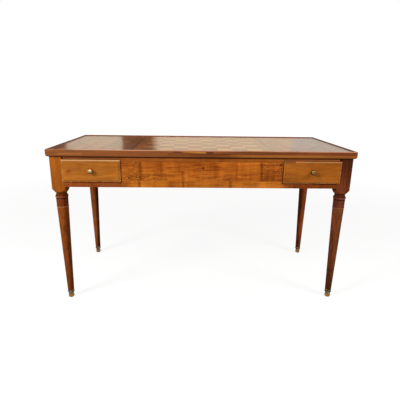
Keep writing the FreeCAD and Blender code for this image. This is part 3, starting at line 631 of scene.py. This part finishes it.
# Heights where the front lip changes: golden to red, plain to dark in its middle, plain to a painted
# highlight
RED_FROM = (0.7205, 0.7245)
DARK_BELOW = (0.728, 0.722)
ARRIS_HIGHLIGHT_FROM = (0.7356, 0.738)
# Patches of the front lip: limits along X, lowest and highest place
DARK_BELT = (-0.16, 0.12, 0.719, 0.7275)
# A cooler patch of painted reflection
REFLECTION_PATCH = (-0.61, -0.46, 0.727, 0.737)
PALE_STREAK = (-0.63, -0.53, 0.718, 0.724)


def tone_lip(wood, x, z):
    """Redder above and golden below on the right half, darker in the middle and at the right end, with a
    patch of painted reflection and painted shade along its lower edge.
    """
    right = wood.step(x, *TWO_TONED)
    upper = wood.step(z, *RED_FROM)
    wood.tint(wood.times(wood.times(right, upper), 0.9), (0.64, 0.53, 0.46), "MULTIPLY")
    lower = wood.times(right, wood.outside(upper))
    wood.tint(wood.times(lower, 0.6), srgb(178, 108, 36))
    wood.darken(wood.step(x, *RIGHT_END), 0.78)
    wood.darken(wood.times(wood.band(x, *LIP_MIDDLE, 0.05), wood.step(z, *DARK_BELOW)), 0.74)
    wood.darken(wood.patch(x, z, *DARK_BELT, 0.0015), 0.7)
    # Painted reflection: a cooler patch near the left end
    wood.tint(wood.patch(x, z, *REFLECTION_PATCH, 0.002), (0.8, 0.92, 1.15), "MULTIPLY")
    wood.tint(wood.times(wood.patch(x, z, *PALE_STREAK, 0.003), 0.4), srgb(184, 120, 66))
    # Painted shade along the lower edge
    wood.darken(wood.step(wood.z, FRAME_RIM + 0.005, FRAME_RIM + 0.001), 0.5)


# The repair in the front lip: limits along X at one height, slant of its ends, rise of its foot, its head
REPAIR_LIMITS = (-0.098, 0.014)
REPAIR_HEIGHT = 0.73
REPAIR_SLANT = 2
REPAIR_RISE = 0.045
REPAIR_FOOT = (0.727, 0.729)
REPAIR_HEAD = (0.7355, 0.7335)
# Dark ends of the repair: limits along X, lowest and highest place, softness, darkness
REPAIR_ENDS = (
    (-0.13, -0.088, 0.7295, 0.7345, 0.0012, 0.38), (0.014, 0.044, 0.7265, 0.734, 0.0015, 0.35),
)


def lip_repair(wood, z):
    """A pale wedge let into the front lip, dark at both ends."""
    slanted = wood.plus(wood.x, wood.times(wood.minus(wood.z, REPAIR_HEIGHT), REPAIR_SLANT))
    foot = wood.step(wood.plus(z, wood.times(wood.x, REPAIR_RISE)), *REPAIR_FOOT)
    height = wood.times(foot, wood.step(z, *REPAIR_HEAD))
    wedge = wood.times(wood.band(slanted, *REPAIR_LIMITS, 0.012), height)
    wood.tint(wood.times(wedge, 0.8), srgb(202, 132, 56))
    for *limits, soft, amount in REPAIR_ENDS:
        wood.darken(wood.patch(wood.x, z, *limits, soft), amount)


def front_lip_material():
    """The front edge of the top, in several tones, with an old repair, worn edges and a painted highlight
    along its upper edge.
    """
    tones = srgb(108, 58, 24), srgb(166, 96, 47)
    wood = Wood("lip_front", "x", *tones, 18, streak=0.6, line=0.9, cloud=0.25)
    x = wood.loose(wood.x, 0.02, 20)
    z = wood.loose(wood.z, 0.0025, 25)
    tone_lip(wood, x, z)
    lip_repair(wood, z)
    # Painted highlight along the upper edge
    arris_highlight = wood.times(wood.step(wood.z, *ARRIS_HIGHLIGHT_FROM), wood.step(wood.clouds, 0.25, 0.5))
    wood.tint(wood.times(arris_highlight, 0.85), srgb(214, 156, 128))
    return wood.done(srgb(206, 140, 108), 0.6, 0.3, 0.0016, Specular_IOR_Level=0.12)


dress(front_lip_material(), "lip_front")
dress(lip_material("lip_rear", "x", srgb(132, 66, 40), srgb(190, 116, 78), 30), "lip_rear")
dress(lip_material("lip_ends", "y", srgb(92, 44, 20), srgb(158, 90, 44), 19), "lip_left", "lip_right")
dress(plain_wood("top_panel", "x", srgb(112, 70, 40), srgb(160, 108, 64), 20), "top_panel")

# The veneers
VARNISH = {"Coat_Weight": 0.48, "Coat_Roughness": 0.07, "Coat_IOR": 1.5, "Specular_IOR_Level": 0.1}
board_low, board_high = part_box("dark_squares")
SQUARE = (board_high.x - board_low.x) / 8


def vary_squares(wood):
    """Darkens each square of the chessboard by a chance amount."""
    column = wood.math("FLOOR", wood.math("DIVIDE", wood.x, SQUARE))
    row = wood.math("FLOOR", wood.math("DIVIDE", wood.y, SQUARE))
    cell = wood.node("CombineXYZ", {0: column, 1: row}).outputs[0]
    chance = wood.node("TexWhiteNoise", {"Vector": cell}, noise_dimensions="2D").outputs["Value"]
    wood.darken(chance, 0.75)


def veneer(name, along, dark, light, seed, squares=False, figure=0.45):
    """Varnished veneer, in one tone or, for the chessboard, in another tone for each square."""
    wood = Wood(name, along, dark, light, seed, streak=figure, line=0.45, cloud=figure)
    wood.flecks(75, 24, 0.84)
    if squares:
        vary_squares(wood)
    return wood.done(light, 0.1, 0.35, 0.0006, 0.3, **VARNISH)


dress(veneer("cross_banding", "x", srgb(116, 60, 22), srgb(164, 90, 40), 21), "cross_banding")
dress(veneer("stringing", "x", srgb(14, 8, 5), srgb(34, 20, 12), 22), "stringing")
dress(veneer("centre_field", "y", srgb(134, 69, 20), srgb(186, 106, 36), 23), "centre_field")
end_fields = veneer("end_fields", "y", srgb(124, 62, 24), srgb(174, 98, 43), 24, figure=0.75)
dress(end_fields, "left_end_field", "right_end_field")
lozenges = veneer("lozenges", "y", srgb(130, 68, 26), srgb(184, 108, 47), 25, figure=0.75)
dress(lozenges, "left_lozenge", "right_lozenge")
dress(veneer("light_squares", "x", srgb(180, 108, 38), srgb(226, 154, 66), 26, True), "light_squares")
dress(veneer("dark_squares", "y", srgb(126, 63, 18), srgb(174, 96, 32), 27, True), "dark_squares")


# Brass and bone

# Height of a shoe's plain toe, under its ornament
TOE_HIGH = 0.02


def ornament(graph, where, z, colour):
    """Dark cast ornament with pale glints above the toe of a shoe."""
    above = graph.step(z, TOE_HIGH - 0.004, TOE_HIGH + 0.004)
    glint = graph.step(graph.noise(where, 230, 2, 0.5), 0.55, 0.66)
    cast = graph.mix(glint, srgb(66, 51, 39), srgb(206, 186, 162))
    return graph.mix(graph.times(above, 0.9), colour, cast)


def brass(name, bright, dull, shade, roughness, shoe=False):
    """Tarnished brass, with painted shade underneath and in its creases, bright on its edges."""
    graph = Graph(name)
    where, _, _, z = graph.places()
    tarnish = graph.noise(where, 140, 5, 0.6)
    colour = graph.mix(graph.step(tarnish, 0.35, 0.7), bright, dull)
    if shoe:
        colour = ornament(graph, where, z, colour)
    # Painted shade: darker where the surface looks down
    under = graph.step(graph.facing("z"), 0.45, -0.5)
    colour = graph.mix(graph.times(under, shade), colour, srgb(58, 42, 20))
    rounded, edge = graph.edges(0.0012)
    colour = graph.mix(graph.times(edge, 0.4), colour, srgb(216, 186, 124))
    # Painted shade in the creases
    colour = graph.mix(graph.times(graph.creases(0.006), 0.8), colour, srgb(44, 32, 20))
    varied = graph.plus(graph.times(tarnish, 0.25), roughness)
    return graph.finish(colour, varied, tarnish, rounded, 0.0002, Metallic=1.0)


shoes = brass("brass_shoes", srgb(164, 122, 66), srgb(122, 86, 46), 0.3, 0.2, shoe=True)
dress(shoes, *[f"shoe_{end}_{side}" for end in ("front", "rear") for side in SIDES])
left_knob = brass("left_knob", srgb(236, 214, 152), srgb(196, 170, 108), 0.9, 0.3)
dress(left_knob, "left_drawer_knob", "left_drawer_knob_nut")
right_knob = brass("right_knob", srgb(160, 134, 82), srgb(120, 98, 58), 0.8, 0.52)
dress(right_knob, "right_drawer_knob", "right_drawer_knob_nut")


def bone():
    graph = Graph("bone")
    where = graph.places()[0]
    spots = graph.noise(graph.scaled(where, (600, 600, 90)), 1, 3)
    colour = graph.mix(graph.step(spots, 0.4, 0.75), srgb(232, 221, 194), srgb(188, 164, 118))
    rounded = graph.edges(0.0005)[0]
    roughness = graph.plus(graph.times(spots, 0.2), 0.3)
    return graph.finish(colour, roughness, spots, rounded, 0.0001)


dress(bone(), "scoring_bushes")


# The baize under the top, a glued sheet of cloth

# Gap to the recess, hollow under the sheet, unevenness and its rate per metre, squares of the mesh
BAIZE_INSET = 0.0006
BAIZE_LIFT = 0.0003
BAIZE_WAVE = 0.00025
BAIZE_WAVE_RATE = 14
BAIZE_COLUMNS = 120
BAIZE_ROWS = 44


def baize_material():
    graph = Graph("baize")
    where = graph.places()[0]
    nap = graph.noise(where, 900, 3, 0.7)
    faded = graph.step(graph.noise(where, 4, 4), 0.45, 0.7)
    colour = graph.mix(nap, srgb(28, 66, 40), srgb(62, 112, 72))
    colour = graph.mix(graph.times(faded, 0.5), colour, srgb(84, 122, 84))
    normal = graph.node("NewGeometry").outputs["Normal"]
    roughness = graph.plus(graph.times(nap, 0.15), 0.8)
    cloth = {"Sheen_Weight": 0.4, "Sheen_Roughness": 0.5, "Specular_IOR_Level": 0.1}
    return graph.finish(colour, roughness, nap, normal, 0.0005, **cloth)


def baize_layer(mesh, low, high, z, lift):
    """The points of one side of the sheet."""
    points = []
    for i in range(BAIZE_COLUMNS + 1):
        for j in range(BAIZE_ROWS + 1):
            x = low.x + BAIZE_INSET + (high.x - low.x - 2 * BAIZE_INSET) * i / BAIZE_COLUMNS
            y = low.y + BAIZE_INSET + (high.y - low.y - 2 * BAIZE_INSET) * j / BAIZE_ROWS
            wave = noise.noise(Vector((x * BAIZE_WAVE_RATE, y * BAIZE_WAVE_RATE, 3.0)))
            points.append(mesh.verts.new((x, y, z + lift * wave)))
    return points


def baize_mesh(low, high):
    """A closed sheet, uneven underneath and flat where it is glued."""
    columns, rows = BAIZE_COLUMNS, BAIZE_ROWS
    mesh = bmesh.new()
    under = baize_layer(mesh, low, high, low.z + BAIZE_LIFT, BAIZE_WAVE)
    over = baize_layer(mesh, low, high, high.z, 0.0)
    def at(i, j):
        return i * (rows + 1) + j
    for i in range(columns):
        for j in range(rows):
            corners = [at(i, j), at(i, j + 1), at(i + 1, j + 1), at(i + 1, j)]
            mesh.faces.new([under[c] for c in corners])
            mesh.faces.new([over[c] for c in reversed(corners)])
    rim = [at(i, 0) for i in range(columns)] + [at(columns, j) for j in range(rows)]
    rim += [at(i, rows) for i in range(columns, 0, -1)] + [at(0, j) for j in range(rows, 0, -1)]
    for here, there in zip(rim, rim[1:] + rim[:1]):
        mesh.faces.new([under[here], under[there], over[there], over[here]])
    data = bpy.data.meshes.new("baize_sheet")
    mesh.to_mesh(data)
    mesh.free()
    return data


def baize_sheet():
    """A thin sheet, slightly uneven, in the recess of the top."""
    low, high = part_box("baize_lining")
    data = baize_mesh(low, high)
    sheet = bpy.data.objects.new("baize_sheet", data)
    bpy.context.scene.collection.objects.link(sheet)
    data.materials.append(baize_material())
    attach(sheet, "top")
    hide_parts("baize_lining")


baize_sheet()


# Floor and cards

FLOOR_REACH = 60
FLOOR_COLOUR = (0.6, 0.59, 0.58)
# The floor's own light for the camera: its share, its strength, and what is added between two distances
FLOOR_GLOW_SHARE = 0.7
FLOOR_GLOW = 1.25
FAR_GLOW = 0.2
FAR = (1.5, 5)

# The warm card behind the table: reach along X, place along Y, lowest and highest place
CARD_REACH = 5
CARD_BACK = 2
CARD_LOW = 0.76
CARD_HIGH = 1.7
# Along X: where the card lights up, the soft edges of its dark gap, where its warm tone changes
CARD_START = (-1.42, -1.36)
GAP_START = (-0.81, -0.77)
GAP_END = (-0.39, -0.49)
WARMER_FROM = (-0.7, -0.6)
COOLER_FROM = (1.0, 1.1)

# The overhead card
HIGHLIGHT_PLACE = Vector((-0.5, -1.0, 3.2))
HIGHLIGHT_REACH = 0.7
HIGHLIGHT_STRENGTH = 40


def plane(name, corners, material):
    data = bpy.data.meshes.new(name)
    data.from_pydata(corners, [], [(0, 1, 2, 3)])
    item = bpy.data.objects.new(name, data)
    bpy.context.scene.collection.objects.link(item)
    data.materials.append(material)
    return item


def level_square(middle, reach):
    """Corners of a square that is level with the floor."""
    return [middle + Vector((x, y, 0)) * reach for x, y in ((-1, -1), (1, -1), (1, 1), (-1, 1))]


def floor_material():
    """Pale and matt, lit up to white for the camera, a little more where the lamps don't reach."""
    graph = Graph("floor")
    diffuse = graph.node("BsdfDiffuse", {"Color": FLOOR_COLOUR})
    away = graph.node("VectorMath", {0: graph.places()[0]}, operation="LENGTH").outputs["Value"]
    strength = graph.plus(graph.times(graph.step(away, *FAR), FAR_GLOW), FLOOR_GLOW)
    light = graph.node("Emission", {"Color": WHITE, "Strength": strength})
    share = graph.times(graph.seen(), FLOOR_GLOW_SHARE)
    mixed = graph.node("MixShader", {0: share, 1: diffuse.outputs[0], 2: light.outputs[0]})
    graph.node("OutputMaterial", {"Surface": mixed.outputs[0]})
    return graph.owner


def card_material():
    """A warm reflector, dark at its left end and in one gap, mirrored in the varnish of the top."""
    graph = Graph("card")
    x = graph.places()[1]
    gap = graph.times(graph.step(x, *GAP_START), graph.step(x, *GAP_END))
    lit = graph.minus(graph.step(x, *CARD_START), gap)
    warm = graph.mix(graph.step(x, *WARMER_FROM), (0.96, 0.91, 0.71), (1.08, 0.97, 0.73))
    warm = graph.mix(graph.step(x, *COOLER_FROM), warm, (0.87, 0.9, 0.83))
    return graph.glow(graph.mix(lit, (0.015, 0.012, 0.01), warm), 1.0)


def highlight_material():
    """A bright card, fading to its edges, mirrored in brass and in the turned rings."""
    graph = Graph("highlight")
    away = graph.node("VectorMath", {0: graph.places()[0], 1: HIGHLIGHT_PLACE}, operation="DISTANCE")
    share = graph.step(away.outputs["Value"], HIGHLIGHT_REACH, 0)
    return graph.glow(WHITE, graph.times(share, HIGHLIGHT_STRENGTH))


plane("floor", level_square(Vector((0, 0, 0)), FLOOR_REACH), floor_material())
card_corners = [
    (-CARD_REACH, CARD_BACK, CARD_LOW), (CARD_REACH, CARD_BACK, CARD_LOW),
    (CARD_REACH, CARD_BACK, CARD_HIGH), (-CARD_REACH, CARD_BACK, CARD_HIGH),
]
card = plane("card", card_corners, card_material())
highlight = plane("highlight", level_square(HIGHLIGHT_PLACE, HIGHLIGHT_REACH), highlight_material())
for item in (card, highlight):
    item.visible_camera = False
    item.visible_diffuse = False
    item.visible_shadow = False
    item.visible_transmission = False


# Light

AMBIENT = 0.2
LAMP_SIZE = 1.0
# Lamps: place, the place they look at, power
LAMPS = {
    "key": ((-2.5, -2.0, 2.1), (-0.2, -0.2, 0.5), 88),
    "fill": ((2.6, -1.8, 2.0), (0.3, -0.2, 0.5), 55),
}


def studio_world():
    """White where it is seen or mirrored, and elsewhere a weak even light."""
    graph = Graph("studio", "worlds")
    ambient = graph.node("Background", {"Color": WHITE, "Strength": AMBIENT})
    white = graph.node("Background", {"Color": WHITE, "Strength": 1.0})
    chosen = graph.node("MixShader", {0: graph.seen(), 1: ambient.outputs[0], 2: white.outputs[0]})
    graph.node("OutputWorld", {"Surface": chosen.outputs[0]})
    return graph.owner


def softbox(name, place, target, power):
    """A square lamp at a place, turned to a target and not mirrored in the varnish."""
    light = bpy.data.lights.new(name, "AREA")
    light.shape = "SQUARE"
    light.size = LAMP_SIZE
    light.energy = power
    item = bpy.data.objects.new(name, light)
    bpy.context.scene.collection.objects.link(item)
    item.location = place
    item.rotation_euler = (Vector(target) - Vector(place)).to_track_quat("-Z", "Y").to_euler()
    item.visible_glossy = False


bpy.context.scene.world = studio_world()
for name, (place, target, power) in LAMPS.items():
    softbox(name, place, target, power)


# The camera, fitted to the photograph's view

LENS = 32.1121
SENSOR_WIDTH = 36
CAMERA_PLACE = Vector((-0.051395, -1.865098, 0.963778))
YAW, PITCH, ROLL = (math.radians(angle) for angle in (-1.51, 16.0573, -0.7485))


def fitted_camera():
    data = bpy.data.cameras.new("camera")
    data.sensor_width = SENSOR_WIDTH
    data.lens = LENS
    camera = bpy.data.objects.new("camera", data)
    bpy.context.scene.collection.objects.link(camera)
    turn = Matrix.Rotation(YAW, 3, "Z") @ Matrix.Rotation(-PITCH, 3, "X") @ Matrix.Rotation(ROLL, 3, "Y")
    basis = Matrix((turn.col[0], turn.col[2], -turn.col[1])).transposed()
    camera.matrix_world = Matrix.Translation(CAMERA_PLACE) @ basis.to_4x4()
    return camera


bpy.context.scene.camera = fitted_camera()
bpy.context.scene.view_settings.view_transform = "Standard"
